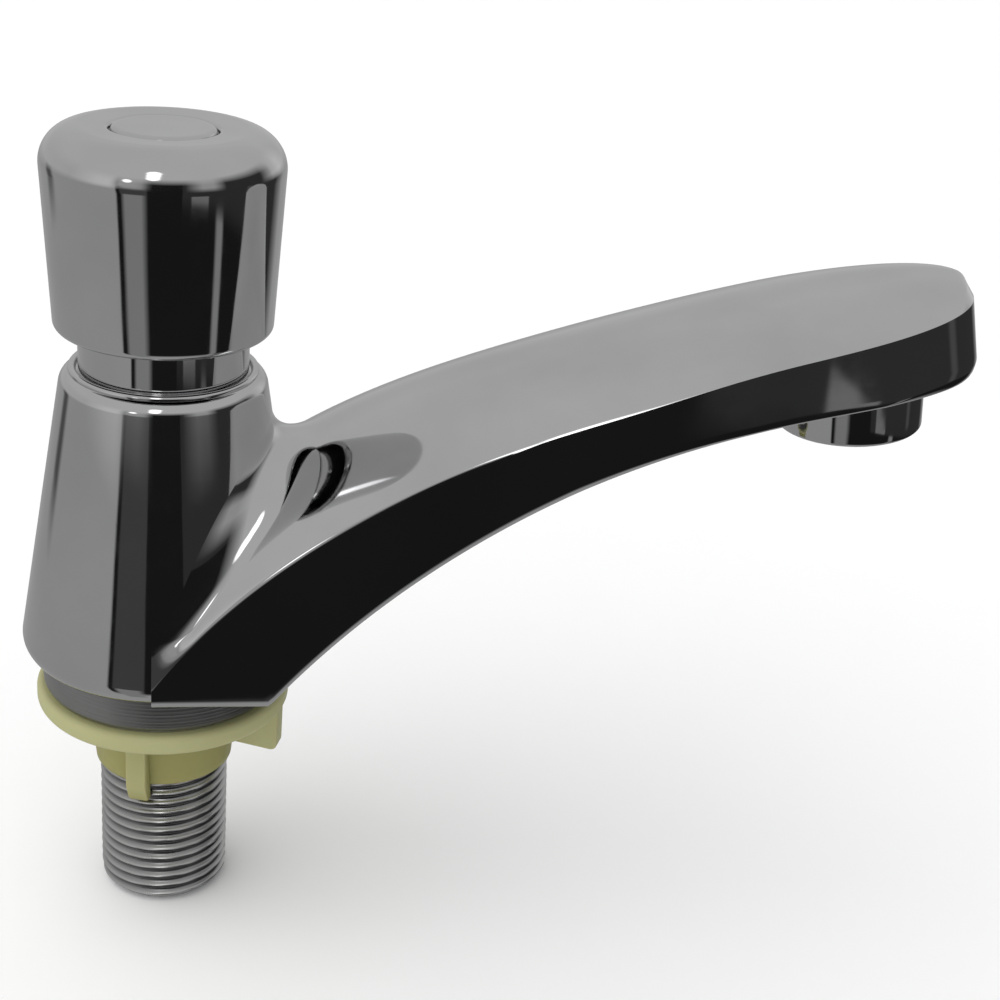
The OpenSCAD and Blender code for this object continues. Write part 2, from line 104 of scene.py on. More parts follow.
# One object from several nets of points in mm; poles and seams are merged, faces turned outwards
def makePiece(name, nets, material, sharpAngle=32):
    points, faces, first = [], [], 0
    for net, loop in nets:
        rows, cols = net.shape[:2]
        points.append(net.reshape(-1, 3) * mm)
        faces.append(netFaces(rows, cols, loop) + first)
        first += rows * cols
    mesh = bpy.data.meshes.new(name)
    mesh.from_pydata(np.concatenate(points).tolist(), [], np.concatenate(faces).tolist())
    work = bmesh.new()
    work.from_mesh(mesh)
    bmesh.ops.remove_doubles(work, verts=work.verts, dist=2e-7)
    bmesh.ops.dissolve_degenerate(work, edges=work.edges, dist=4e-7)
    bmesh.ops.holes_fill(work, edges=work.edges)
    bmesh.ops.recalc_face_normals(work, faces=work.faces)
    work.to_mesh(mesh)
    work.free()
    mesh.shade_smooth()
    mesh.set_sharp_from_angle(angle=math.radians(sharpAngle))
    mesh.materials.append(material)
    piece = bpy.data.objects.new(name, mesh)
    bpy.context.collection.objects.link(piece)
    print("made", name, len(mesh.polygons), "faces")
    return piece


def settle(piece, body, slot, *nodes):  # hangs a piece on what it moves with and hides the CAD nodes it stands for
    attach(piece, body)
    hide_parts(*nodes)


# Levels of the tap, read from the frame
footZ = boxOf("body")[0][2]
lipRise = 48.2  # from the foot to the body's lip
lipZ = footZ + lipRise
knobZ = boxOf("index_disc")[1][2]
rimZ = boxOf("knob")[0][2]
neckTop = boxOf("bonnet")[1][2]
threadEnd = boxOf("shank")[0][2]
washerTop = boxOf("locating_washer")[1][2]
tipWall = boxOf("body")[1][0]


# Adds a node to a tree: a value that is a socket is linked, any other is set on the input
def addNode(tree, kind, values=None, **settings):
    node = tree.nodes.new("ShaderNode" + kind)
    for name, value in settings.items():
        setattr(node, name, value)
    for name, value in (values or {}).items():
        if isinstance(value, bpy.types.NodeSocket):
            tree.links.new(value, node.inputs[name])
        else:
            node.inputs[name].default_value = value
    return node


def math2(tree, operation, a, b=0.0):  # one sum on one or two values
    return addNode(tree, "Math", {0: a, 1: b}, operation=operation).outputs[0]


def span(tree, value, low, high, start, end):  # value from low..high carried to start..end, held at the ends
    return addNode(tree, "MapRange", {0: value, 1: low, 2: high, 3: start, 4: end}).outputs[0]


def blendColor(tree, share, a, b):  # a + (b - a) share
    return addNode(tree, "Mix", {0: share, 6: (*a, 1), 7: (*b, 1)}, data_type="RGBA").outputs[2]


def newGroup(name, inputs, outputs):  # an empty group with float sockets, what it is given and what it gives
    tree = bpy.data.node_groups.new(name, "ShaderNodeTree")
    for key, value in inputs.items():
        tree.interface.new_socket(key, in_out="INPUT", socket_type="NodeSocketFloat").default_value = value
    for key in outputs:
        tree.interface.new_socket(key, in_out="OUTPUT", socket_type="NodeSocketFloat")
    return tree, tree.nodes.new("NodeGroupInput").outputs, tree.nodes.new("NodeGroupOutput").inputs


# Cloudy patches in the piece's own space, 0 to 1
def mottleGroup():
    tree, given, out = newGroup("mottle", {"Scale": 60.0, "Detail": 3.0}, ["Mask"])
    place = addNode(tree, "TexCoord").outputs["Object"]
    noise = addNode(tree, "TexNoise", {"Vector": place, "Scale": given["Scale"], "Detail": given["Detail"]})
    tree.links.new(span(tree, noise.outputs["Fac"], 0.32, 0.68, 0, 1), out["Mask"])
    return tree


# Radius about Z, as (x^2 + y^2)^0.5, and height, in the piece's own space
def aboutZ(tree):
    place = addNode(tree, "SeparateXYZ", {0: addNode(tree, "TexCoord").outputs["Object"]}).outputs
    radius = math2(tree, "POWER", math2(tree, "ADD", math2(tree, "MULTIPLY", place[0], place[0]),
                                        math2(tree, "MULTIPLY", place[1], place[1])), 0.5)
    return radius, place[2]


# Rings left by a lathe about Z: a noise read along (radius, height), so it runs in circles on any turned face
def latheGroup():
    tree, given, out = newGroup("latheLines", {"Per mm": 3.0}, ["Lines"])
    radius, height = aboutZ(tree)
    count = math2(tree, "MULTIPLY", given["Per mm"], 1000.0)
    along = addNode(tree, "CombineXYZ", {0: math2(tree, "MULTIPLY", radius, count),
                                         1: math2(tree, "MULTIPLY", height, count)}).outputs[0]
    noise = addNode(tree, "TexNoise", {"Vector": along, "Scale": 1.0, "Detail": 2.0})
    tree.links.new(span(tree, noise.outputs["Fac"], 0.3, 0.7, 0, 1), out["Lines"])
    return tree


# Mask by radius about Z: 0 at the inner radius, 1 at the outer. The shank and the washer use it for painted
# shade
def radiusBandGroup():
    tree, given, out = newGroup("radiusBand", {"Inner": 0.009, "Outer": 0.01}, ["Mask"])
    radius, _ = aboutZ(tree)
    tree.links.new(span(tree, radius, given["Inner"], given["Outer"], 0, 1), out["Mask"])
    return tree


mottle, latheLines, radiusBand = mottleGroup(), latheGroup(), radiusBandGroup()


def useGroup(tree, group, **values):  # a group's first output
    node = addNode(tree, "Group", node_tree=group)
    for key, value in values.items():
        node.inputs[key.replace("_", " ")].default_value = value
    return node.outputs[0]


def newMaterial(name, **fixed):  # a Principled shader with its plain values set on its own sockets
    material = bpy.data.materials.new(name)
    material.use_nodes = True
    shader = material.node_tree.nodes["Principled BSDF"]
    for key, value in fixed.items():
        shader.inputs[key.replace("_", " ")].default_value = value
    return material, material.node_tree, shader.inputs


def bumpBy(tree, height, strength, distance):  # normal tilted by the slope of a height mask
    return addNode(tree, "Bump", {"Strength": strength, "Distance": distance, "Height": height}).outputs[0]


# Chrome plate: nearly even, with faint polishing clouds and a slight wave from the casting under it
def chromeFinish(name, bright, dull, smooth=0.035, rough=0.075, wave=0.04):
    material, tree, shader = newMaterial(name, Metallic=1.0)
    clouds = useGroup(tree, mottle, Scale=42.0, Detail=4.0)
    haze = useGroup(tree, mottle, Scale=260.0, Detail=5.0)
    swell = useGroup(tree, mottle, Scale=75.0, Detail=1.0)
    tree.links.new(blendColor(tree, clouds, bright, dull), shader["Base Color"])
    tree.links.new(span(tree, haze, 0, 1, smooth, rough), shader["Roughness"])
    tree.links.new(bumpBy(tree, swell, wave, 0.0004), shader["Normal"])
    return material


# Turned metal: lathe lines in colour, gloss and relief
def turnedFinish(name, bright, dull, smooth, rough, perMm, relief):
    material, tree, shader = newMaterial(name, Metallic=1.0)
    lines = useGroup(tree, latheLines, Per_mm=perMm)
    tree.links.new(blendColor(tree, lines, dull, bright), shader["Base Color"])
    stain = useGroup(tree, mottle, Scale=180.0, Detail=4.0)
    gloss = math2(tree, "ADD", math2(tree, "MULTIPLY", lines, 0.6), math2(tree, "MULTIPLY", stain, 0.4))
    tree.links.new(span(tree, gloss, 0, 1, rough, smooth), shader["Roughness"])
    tree.links.new(bumpBy(tree, lines, relief, 0.0002), shader["Normal"])
    return material


# Thread and collar: turned metal with painted shade in the thread's valleys, where the colour darkens inside
# the crests' radius
def shankFinish():
    material, tree, shader = newMaterial("platedShank", Metallic=1.0)
    lines = useGroup(tree, latheLines, Per_mm=2.6)
    # painted shade: 0 in the thread's valleys and on faces nearer the axis, 1 at the crests and beyond
    unshadedCrest = useGroup(tree, radiusBand, Inner=0.0098, Outer=0.0104)
    stain = useGroup(tree, mottle, Scale=150.0, Detail=5.0)
    collar = useGroup(tree, radiusBand, Inner=0.0125, Outer=0.0145)
    share = math2(tree, "MULTIPLY", unshadedCrest, span(tree, math2(tree, "ADD", lines, stain), 0, 2, 0.8, 1))
    share = math2(tree, "SUBTRACT", share, math2(tree, "MULTIPLY", collar, 0.55))
    # dark colour: painted shade in the valleys; light colour: the plating
    tree.links.new(blendColor(tree, share, (0.22, 0.22, 0.22), (0.54, 0.54, 0.535)), shader["Base Color"])
    dull = math2(tree, "ADD", span(tree, stain, 0, 1, 0.25, 0.35), math2(tree, "MULTIPLY", collar, 0.1))
    tree.links.new(dull, shader["Roughness"])
    tree.links.new(bumpBy(tree, lines, 0.1, 0.0002), shader["Normal"])
    return material


# Moulded plastic or rubber: slow colour clouds and a fine moulded skin
def mouldedFinish(name, light, dark, smooth, rough, skin, relief, **fixed):
    material, tree, shader = newMaterial(name, **fixed)
    clouds = useGroup(tree, mottle, Scale=70.0, Detail=3.0)
    grain = useGroup(tree, mottle, Scale=skin, Detail=2.0)
    tree.links.new(blendColor(tree, clouds, light, dark), shader["Base Color"])
    tree.links.new(span(tree, grain, 0, 1, smooth, rough), shader["Roughness"])
    tree.links.new(bumpBy(tree, grain, relief, 0.0002), shader["Normal"])
    return material


# Translucent nylon: clouds as in other mouldings, and painted shade on the hub under the flange, a darker and
# deeper yellow within the hub's radius
def nylonFinish():
    material, tree, shader = newMaterial("paleYellowNylon", Subsurface_Weight=0.12, Subsurface_Scale=0.002,
                                         Specular_IOR_Level=0.3)
    clouds = useGroup(tree, mottle, Scale=90.0, Detail=4.0)
    grain = useGroup(tree, mottle, Scale=900.0, Detail=2.0)
    # painted shade: 0 on the hub under the flange, 1 beyond the hub
    outsideHubShade = useGroup(tree, radiusBand, Inner=0.0121, Outer=0.0142)
    share = math2(tree, "MULTIPLY", outsideHubShade, span(tree, clouds, 0, 1, 0.86, 1))
    tree.links.new(blendColor(tree, share, (0.29, 0.276, 0.1), (0.41, 0.408, 0.21)), shader["Base Color"])
    tree.links.new(span(tree, grain, 0, 1, 0.34, 0.46), shader["Roughness"])
    tree.links.new(bumpBy(tree, grain, 0.06, 0.0002), shader["Normal"])
    return material


chromeMat = chromeFinish("chromePlate", (0.605, 0.605, 0.61), (0.54, 0.54, 0.545))
shankMat = shankFinish()
washerMat = nylonFinish()
castMat = mouldedFinish("dullCasting", (0.09, 0.088, 0.085), (0.06, 0.058, 0.056), 0.6, 0.75, 600.0, 0.1)
rubberMat = mouldedFinish("blackRubber", (0.035, 0.035, 0.036), (0.022, 0.022, 0.023), 0.5, 0.68,
                          1500.0, 0.15)
brassMat = turnedFinish("turnedBrass", (0.66, 0.49, 0.21), (0.55, 0.39, 0.15), 0.16, 0.34, 4.0, 0.2)
steelMat = turnedFinish("brightStainless", (0.62, 0.62, 0.61), (0.5, 0.5, 0.49), 0.12, 0.28, 5.0, 0.15)
paleMat = mouldedFinish("offWhiteAcetal", (0.78, 0.77, 0.71), (0.72, 0.7, 0.63), 0.36, 0.5, 700.0, 0.08)
print("materials made")

# The CAD nodes take the finish of their slot
finishes = {"chrome": chromeMat, "turned_steel": shankMat, "yellow_plastic": washerMat,
            "seal_rubber": rubberMat, "valve_brass": brassMat, "spring_steel": steelMat,
            "pale_plastic": paleMat}
for row in frame["record"]["subparts"]:
    node = frame["nodes"][row["node"]]
    node.data.materials.clear()
    node.data.materials.append(finishes[row["material_slot"]])

# Cast body: a cone with a rounded foot, a spout with a crease along each side, and the outlet boss
bodySet = dict(
    footR=22.8, shoulderR=15.9, shoulderDrop=3.15, footRound=3.0, shoulderRound=2.6, shoulderTurn=63,
    recess=1.0, recessR=13.25, beadW=0.6, dip=0.62, socketR=13.05, socketTop=32.6, chamberR=12.0,
)
spoutSet = dict(
    reach=109.2, rootW=44.9, endW=38.8, endLen=31.0, endLean=2.8, square=2.35,
    creaseStart=5.17, creaseGain=33.46, creaseNear=23.55, creaseSink=0.97, crownRoot=13.05, crownEnd=4.71,
    crownSag=2.36, sagAt=66.6, sagOver=42.3, crownClose=3.1,
    underR=142.0, underH=52.3, underPast=2.0, creaseRound=1.1, creaseSwell=2.4, swellAt=70.0, swellOver=15.0,
    crispFrom=36.0, crispTo=58.0, crispPull=0.28, crispDrop=0.32,
    lowAt=(62.0, 88.0, 108.0, 124.0), lowRound=(1.6, 0.45, 0.45, 3.2),
    filletEdge=3.4, filletMid=3.2, filletSide=6.0, filletPull=0.62, blend=7.0, clearR=14.5, wallH=10.0,
    meetFrom=-5.0, meetTo=45.0, halvings=50, diveIn=0.93, diveUp=0.4, tuckIn=0.96, tuckBack=0.15,
    across=181, along=96, tipRows=44, filletRows=22, bellyStep=4, creaseRows=12, wallRows=10, lowRows=8,
)
bossSet = dict(radius=12.7, height=46.6, lean=6.0, edge=0.4, low=3.2, pocket=11.75, depth=10.0)


def coneR(z):  # radius of the cone at a height
    s = bodySet
    rise = (z - footZ) / (lipZ - s["shoulderDrop"] - footZ)
    return s["footR"] + (s["shoulderR"] - s["footR"]) * rise


tipX = tipWall - spoutSet["endLean"]
endX = tipX - spoutSet["endLen"]


# Half width in plan: a straight taper times a squared ellipse over the round end
def halfWidth(x, inset=0.0):
    s = spoutSet
    taper = (s["rootW"] + (s["endW"] - s["rootW"]) * x / endX) / 2 - inset
    u = np.clip((x - endX) / (s["endLen"] - inset), 0, 1)
    return taper * (1 - u ** s["square"]) ** (1 / s["square"])


# Side crease: a logarithm of x that sinks by a cubic towards the tip
def creaseZ(x):
    s = spoutSet
    rise = s["creaseGain"] * np.log1p(x / s["creaseNear"])
    return footZ + s["creaseStart"] + rise - s["creaseSink"] * (x / tipX) ** 3


# Rounding of the crease: swells as a bell curve where the spout levels off
def creaseR(x):
    s = spoutSet
    return s["creaseRound"] + s["creaseSwell"] * np.exp(-((x - s["swellAt"]) / s["swellOver"]) ** 2)


# How crisp the crease is: 0 near the root, where it is a plain rounding, to 1 where it ends in an edge,
# eased by 3t^2 - 2t^3
def crisp(x):
    s = spoutSet
    t = np.clip((x - s["crispFrom"]) / (s["crispTo"] - s["crispFrom"]), 0, 1)
    return t * t * (3 - 2 * t)


# Crown over the crease: a straight fall along the spout that levels off softly, less a bell-shaped sag,
# closed at the tip by (1 - u^p)^(1/p)
def crown(x):
    s = spoutSet
    soft = endX - s["blend"] * np.logaddexp(0, (endX - x) / s["blend"])
    u = np.clip((x - endX) / s["endLen"], 0, 1)
    plain = s["crownRoot"] + (s["crownEnd"] - s["crownRoot"]) * np.maximum(soft, 0) / endX
    sag = s["crownSag"] * np.exp(-((x - s["sagAt"]) / s["sagOver"]) ** 2)
    return (plain - sag) * (1 - u ** s["crownClose"]) ** (1 / s["crownClose"])


def topZ(x, y):  # parabola across the spout
    w = np.maximum(halfWidth(x), 1e-6)
    return creaseZ(x) + crown(x) * (1 - np.clip(y / w, -1, 1) ** 2)


def underZ(x):  # arc that crests just past the tip
    s = spoutSet
    rise = np.sqrt(s["underR"] ** 2 - (x - tipX - s["underPast"]) ** 2)
    return np.maximum(footZ + 0.02, footZ + s["underH"] - s["underR"] + rise)


def unit(v):  # v / |v|
    return v / np.linalg.norm(v, axis=-1, keepdims=True)


# Normal of the cone, by the angle round Z
def coneNormal(angle):
    s = bodySet
    lean = math.atan((s["footR"] - s["shoulderR"]) / (lipZ - s["shoulderDrop"] - footZ))
    return np.stack([np.cos(angle) * math.cos(lean), np.sin(angle) * math.cos(lean),
                     np.full_like(angle, math.sin(lean))], -1)


# Spout: rows run from inside the cone, down the fillet and out to the tip; each row is a closed ring.
# The fillet is a cubic Bezier curve for each line, square to the seam on the cone and along the line on top
def spoutNet():
    s = spoutSet
    t = np.linspace(-1, 1, s["across"])
    v = 0.5 * t + 0.5 * np.sin(np.pi / 2 * t)

    def top(x):  # point of each line v on the top, inset by the crease's rounding
        y = v * halfWidth(x, creaseR(x))
        return np.stack([x, y, topZ(x, y)], -1)

    # where each line meets the cone, by halving
    low, high = np.full(len(v), s["meetFrom"]), np.full(len(v), s["meetTo"])
    for _ in range(s["halvings"]):
        mid = (low + high) / 2
        p = top(mid)
        outside = np.hypot(p[:, 0], p[:, 1]) > coneR(p[:, 2])
        low, high = np.where(outside, low, mid), np.where(outside, mid, high)
    meet = top(high)
    size = s["filletEdge"] + (1 - v ** 2) * (s["filletMid"] + s["filletSide"] * v ** 2)
    startX = high + size
    start = top(startX)
    outward = unit(top(startX + 0.01) - start)
    seam = unit(np.gradient(meet, axis=0))
    off = meet + size[:, None] * unit(np.cross(coneNormal(np.arctan2(meet[:, 1], meet[:, 0])), seam))
    angle = np.arctan2(off[:, 1], off[:, 0])
    ring = coneR(off[:, 2])
    onCone = np.stack([ring * np.cos(angle), ring * np.sin(angle), off[:, 2]], -1)
    normal = coneNormal(angle)
    down = meet - onCone
    down = unit(down - (down * normal).sum(-1, keepdims=True) * normal)
    handle = s["filletPull"] * size[:, None]
    q = np.linspace(0, 1, s["filletRows"])[:, None, None]
    fillet = ((1 - q) ** 3 * onCone + 3 * q * (1 - q) ** 2 * (onCone + handle * down)
              + 3 * q ** 2 * (1 - q) * (start - handle * outward) + q ** 3 * start)
    dive = onCone * np.array([s["diveIn"], s["diveIn"], 1]) + np.array([0, 0, s["diveUp"]])

    # share of the way to the tip, even along the straight part and by a sine round the end
    centre = startX[len(v) // 2]
    run = np.concatenate([
        np.linspace(centre, endX, s["along"])[1:],
        endX + s["endLen"] * np.sin(np.linspace(0, np.pi / 2, s["tipRows"])[1:])])
    share = ((run - centre) / (tipX - centre))[:, None]
    inner = top(startX + (tipX - creaseR(tipX) - startX) * share)
    upper = np.concatenate([dive[None], fillet, inner])

    # the walls: crease, wall and lower edge below the two outer lines; the first row is tucked into the cone
    sides = startX[[0, -1]]
    root = fillet[:, [0, -1], 0]
    x = np.concatenate([root[:1] - s["tuckBack"], root, sides + (tipX - sides) * share])
    tuck = np.concatenate([[s["tuckIn"]], np.ones(len(x) - 1)])[:, None]
    y = halfWidth(x) * np.array([-1, 1]) * tuck
    lean = s["endLean"] * np.clip((x - endX) / s["endLen"], 0, None)
    k = np.interp(x, s["lowAt"], s["lowRound"])
    lowInset = (halfWidth(endX + (x - endX) * np.where(x > endX, 1 - k / s["endLen"], 1), 0) - k) * tuck
    lowX = x + lean
    insetX = lowX - k * np.clip((x - endX) / s["endLen"], 0, 1)
    floor = underZ(insetX)
    r = creaseR(x)
    wallTop = creaseZ(x) - r * (1 - (1 - s["crispDrop"]) * crisp(x))
    pull = s["crispPull"] * crisp(x)
    wallLow = np.minimum(underZ(lowX) + k, wallTop - 0.1)
    corner = np.stack([x, y, creaseZ(x)], -1)
    under = np.stack([x + lean * (r / s["wallH"]), y, wallTop], -1)
    wallEnd = np.stack([lowX, y, wallLow], -1)
    lowCorner = np.stack([lowX, y, np.minimum(underZ(lowX), wallLow - 0.05)], -1)
    lowEdge = np.stack([insetX, np.maximum(lowInset, 0) * np.array([-1, 1]), floor], -1)

    def wall(side):  # ring points from the crease down to the underside
        edge = upper[:, 0 if side == 0 else -1]
        c, w, e, lc, le = (p[:, side] for p in (corner, under, wallEnd, lowCorner, lowEdge))
        crease = rounded(edge, c + (edge - c) * pull[:, side, None], w, s["creaseRows"])[1:]
        drop = np.linspace(0, 1, s["wallRows"])[1:-1, None, None]
        straight = w * (1 - drop) + e * drop
        low = rounded(e, lc, le, s["lowRows"])
        return np.concatenate([crease, straight, low]).transpose(1, 0, 2)

    # the underside keeps clear of the chamber; a first row along it closes the spout inside the cone's wall
    near, far = wall(0), wall(1)
    b = ((1 - v[::-s["bellyStep"]][1:-1]) / 2)[:, None]
    belly = far[:, -1:] * (1 - b) + near[:, -1:] * b
    clear = np.sqrt(np.clip(s["clearR"] ** 2 - belly[..., 1] ** 2, 0, None))
    belly[..., 0] = np.maximum(belly[..., 0], clear)
    rings = np.concatenate([upper, far, belly, near[:, ::-1]], 1)
    hem = np.concatenate([near[0, -1:], belly[0, ::-1], far[0, -1:]])
    lines = np.rint(np.arange(len(v)) / s["bellyStep"]).astype(int)
    first = np.concatenate([hem[lines], np.repeat(hem[-1:], far.shape[1], 0), belly[0],
                            np.repeat(hem[:1], near.shape[1], 0)])
    return np.concatenate([first[None], rings])


# Cone: foot arc, straight side, shoulder arc, bead of the lip, dip to the neck, then chamber and shank socket
def coneNet():
    s = bodySet
    sideAngle = math.degrees(math.atan((s["footR"] - s["shoulderR"]) / (lipZ - s["shoulderDrop"] - footZ)))
    shoulderZ = lipZ - s["shoulderDrop"]
    fr, sr, bead = s["footRound"], s["shoulderRound"], s["recessR"] + s["beadW"]
    footC = coneR(footZ + fr) - fr
    profile = np.concatenate([
        line((s["socketR"], footZ), (footC, footZ), 4)[:-1],
        arc(footC, footZ + fr, fr, -90, sideAngle, 22),
        arc(s["shoulderR"] - sr, shoulderZ, sr, sideAngle, s["shoulderTurn"], 22),
        arc(bead, lipZ - s["beadW"], s["beadW"], -18, 168, 24),
        line((s["recessR"] - 0.1, lipZ - s["dip"] - 0.1), (s["recessR"] - 0.4, lipZ - s["dip"] - 0.15), 3),
        line((s["recessR"] - 0.8, lipZ - s["dip"] - 0.15), (s["chamberR"], lipZ - s["dip"] - 0.15), 2),
        path((s["chamberR"], s["socketTop"]), (s["socketR"], s["socketTop"])),
    ])
    return turnedProfile(profile, 360)


def atOutlet(points):  # from the boss's own axis to the tap's frame
    s = bossSet
    a = math.radians(s["lean"])
    x, y, z = points[..., 0], points[..., 1], points[..., 2]
    return np.stack([spoutSet["reach"] + x * math.cos(a) - z * math.sin(a), y,
                     footZ + s["height"] + x * math.sin(a) + z * math.cos(a)], -1)


# Boss: a tube of one radius about the outlet's leaning axis, its lower edge a quarter circle
def bossNet():
    s = bossSet
    return atOutlet(turnedProfile(np.concatenate([
        line((s["pocket"], s["low"]), (s["radius"] - s["edge"], s["low"]), 3),
        arc(s["radius"] - s["edge"], s["low"] + s["edge"], s["edge"], -80, 0, 6),
        line((s["radius"], s["low"] + s["edge"]), (s["radius"], s["depth"]), 6)[1:],
        path((s["pocket"], s["depth"])),
    ])))


body = makePiece("castBody", [(coneNet(), True), (spoutNet(), False), (bossNet(), True)], chromeMat, 23)
settle(body, "tap", "chrome", "body")

# Push knob: a nearly level top, a broad round edge, a side that tapers to the rim, and a hollow skirt
knobSet = dict(capR=17.9, rimR=16.5, edge=5.5, rimEdge=1.2, dome=-0.0018, sink=0.71, soft=0.7,
               skirtR=15.0, mouth=0.5, bossR=6.6, socketR=3.05, screwR=2.3, headR=4.1,
               ceiling=6.3, bossFoot=9.3, socketTop=7.3, headSeat=4.7)
indexSet = dict(radius=7.7, gap=0.2, depth=2.0, edge=0.8, proud=0.22)


# Knob: top z = face - dome r^2, a quarter circle that leaves it at the same slope, a side that tapers to the
# rim, and the hollow, its boss and the screw's bore as steps
def knobNet():
    s, i = knobSet, indexSet
    hole, c = i["radius"] + i["gap"], s["dome"]
    tilt = math.atan(2 * c * (s["capR"] - s["edge"]) * 1.035)
    joint = s["capR"] - s["edge"] + s["edge"] * math.sin(tilt)
    face = knobZ - s["sink"]
    centreZ = face - c * joint ** 2 - s["edge"] * math.cos(tilt)
    taper = math.degrees(math.atan((s["capR"] - s["rimR"]) / (centreZ - rimZ - s["rimEdge"])))
    soft = s["soft"]
    r = np.linspace(hole + soft, joint, 12)[:-1]
    lipTop = face - c * (hole + soft) ** 2
    ceiling, boss = knobZ - s["ceiling"], knobZ - s["bossFoot"]
    socket, seat, floor = knobZ - s["socketTop"], knobZ - s["headSeat"], knobZ - i["depth"]
    return turnedProfile(np.concatenate([
        line((hole, floor), (hole, lipTop - soft - 0.05), 3),
        arc(hole + soft, lipTop - soft, soft, 178, 92, 9),
        np.stack([r, face - c * r ** 2], 1)[1:],
        arc(s["capR"] - s["edge"], centreZ, s["edge"], 90 - math.degrees(tilt), -taper, 34),
        arc(s["rimR"] - s["rimEdge"], rimZ + s["rimEdge"], s["rimEdge"], -taper, -88, 10),
        line((s["skirtR"] + s["mouth"], rimZ), (s["skirtR"], rimZ + s["mouth"]), 3),
        path((s["skirtR"], ceiling), (s["bossR"], ceiling), (s["bossR"], boss), (s["socketR"], boss),
             (s["socketR"], socket), (s["screwR"], socket), (s["screwR"], seat), (s["headR"], seat),
             (s["headR"], floor)),
    ]), 360)


# Disc: z = face - dome r^2 as on the knob, a quarter circle at the edge and a straight side
def indexNet():
    s, c = indexSet, knobSet["dome"]
    r = np.linspace(0, s["radius"] - s["edge"], 14)
    face = knobZ - knobSet["sink"] + s["proud"]
    rim = face - c * (s["radius"] - s["edge"]) ** 2
    return turnedProfile(np.concatenate([
        np.stack([r, face - c * r ** 2], 1),
        arc(s["radius"] - s["edge"], rim - s["edge"], s["edge"], 82, 0, 7),
        line((s["radius"], rim - s["edge"]), (s["radius"], knobZ - s["depth"]), 3)[1:],
        line((s["radius"], knobZ - s["depth"]), (0, knobZ - s["depth"]), 3)[1:],
    ]), 240)


knob = makePiece("pushKnob", [(knobNet(), True)], chromeMat)
knob.data.materials.append(castMat)  # the hollow is left unplated
centres = np.empty(3 * len(knob.data.polygons))
knob.data.polygons.foreach_get("center", centres)
centres = centres.reshape(-1, 3) / mm
hollow = (np.hypot(centres[:, 0], centres[:, 1]) < knobSet["skirtR"] + 0.01) & (centres[:, 2] < knobZ - 2.5)
knob.data.polygons.foreach_set("material_index", hollow.astype(np.int32))
settle(knob, "push_head", "chrome", "knob")
index = makePiece("indexDisc", [(indexNet(), False)], chromeMat)
settle(index, "push_head", "chrome", "index_disc")

# Neck sleeve between body and knob, screwed into the body, with the timing cylinder inside
neckSet = dict(radius=12.9, cylinder=8.6, thread=11.95, edge=0.8, bush=6.05, spindle=4.4, roof=7.0, roofT=2.0,
               groove=10.95, grooveTop=1.6, grooveFoot=3.0, sunk=0.02)


# Neck: steps for skirt, groove, seat and bores, and a quarter circle at the upper edge
def neckNet():
    s, seat = neckSet, lipZ - bodySet["recess"]
    skirt, roof = boxOf("bonnet")[0][2], neckTop - s["roof"]
    return turnedProfile(np.concatenate([
        path((s["cylinder"], skirt), (s["thread"], skirt), (s["thread"], seat - s["grooveFoot"]),
             (s["groove"], seat - s["grooveFoot"]), (s["groove"], seat - s["grooveTop"]),
             (s["thread"], seat - s["grooveTop"]), (s["thread"], seat - s["sunk"])),
        line((s["radius"], seat - s["sunk"]), (s["radius"], neckTop - s["edge"]), 8),
        arc(s["radius"] - s["edge"], neckTop - s["edge"], s["edge"], 5, 90, 6),
        path((s["bush"], neckTop), (s["bush"], roof), (s["spindle"], roof), (s["spindle"], roof - s["roofT"]),
             (s["cylinder"], roof - s["roofT"])),
    ]), 288)


neck = makePiece("neckSleeve", [(neckNet(), True)], chromeMat)
settle(neck, "tap", "chrome", "bonnet")

# Shank: turned collar with fine lathe lines, relief under the washer, and a right-hand G 1/2 thread
shankSet = dict(major=10.4775, depth=0.62, pitch=1.814, unshadedCrest=1.7, bore=7.5, chamfer=1.3, collarR=19.3,
                collarEdge=0.9, relief=9.3, line=0.62, lineDepth=0.035, spigot=13.0, spigotTop=22.6,
                well=11.0, wellZ=6.4, threadTop=-7.0, steps=240, threadRows=230, collarRows=60)


# Radius of the thread: a cosine raised to a power for narrow crests, climbing one pitch for each turn
def threadNet(z, steps):
    s = shankSet
    a = np.linspace(0, 2 * np.pi, steps, endpoint=False)
    turn = (z[:, None] - threadEnd) / s["pitch"] - a / (2 * np.pi)
    r = s["major"] - s["depth"] * (1 - (0.5 + 0.5 * np.cos(2 * np.pi * turn)) ** s["unshadedCrest"])
    cone = s["major"] - s["chamfer"] + (z[:, None] - threadEnd)
    return np.minimum(r, np.minimum(cone, s["major"]))


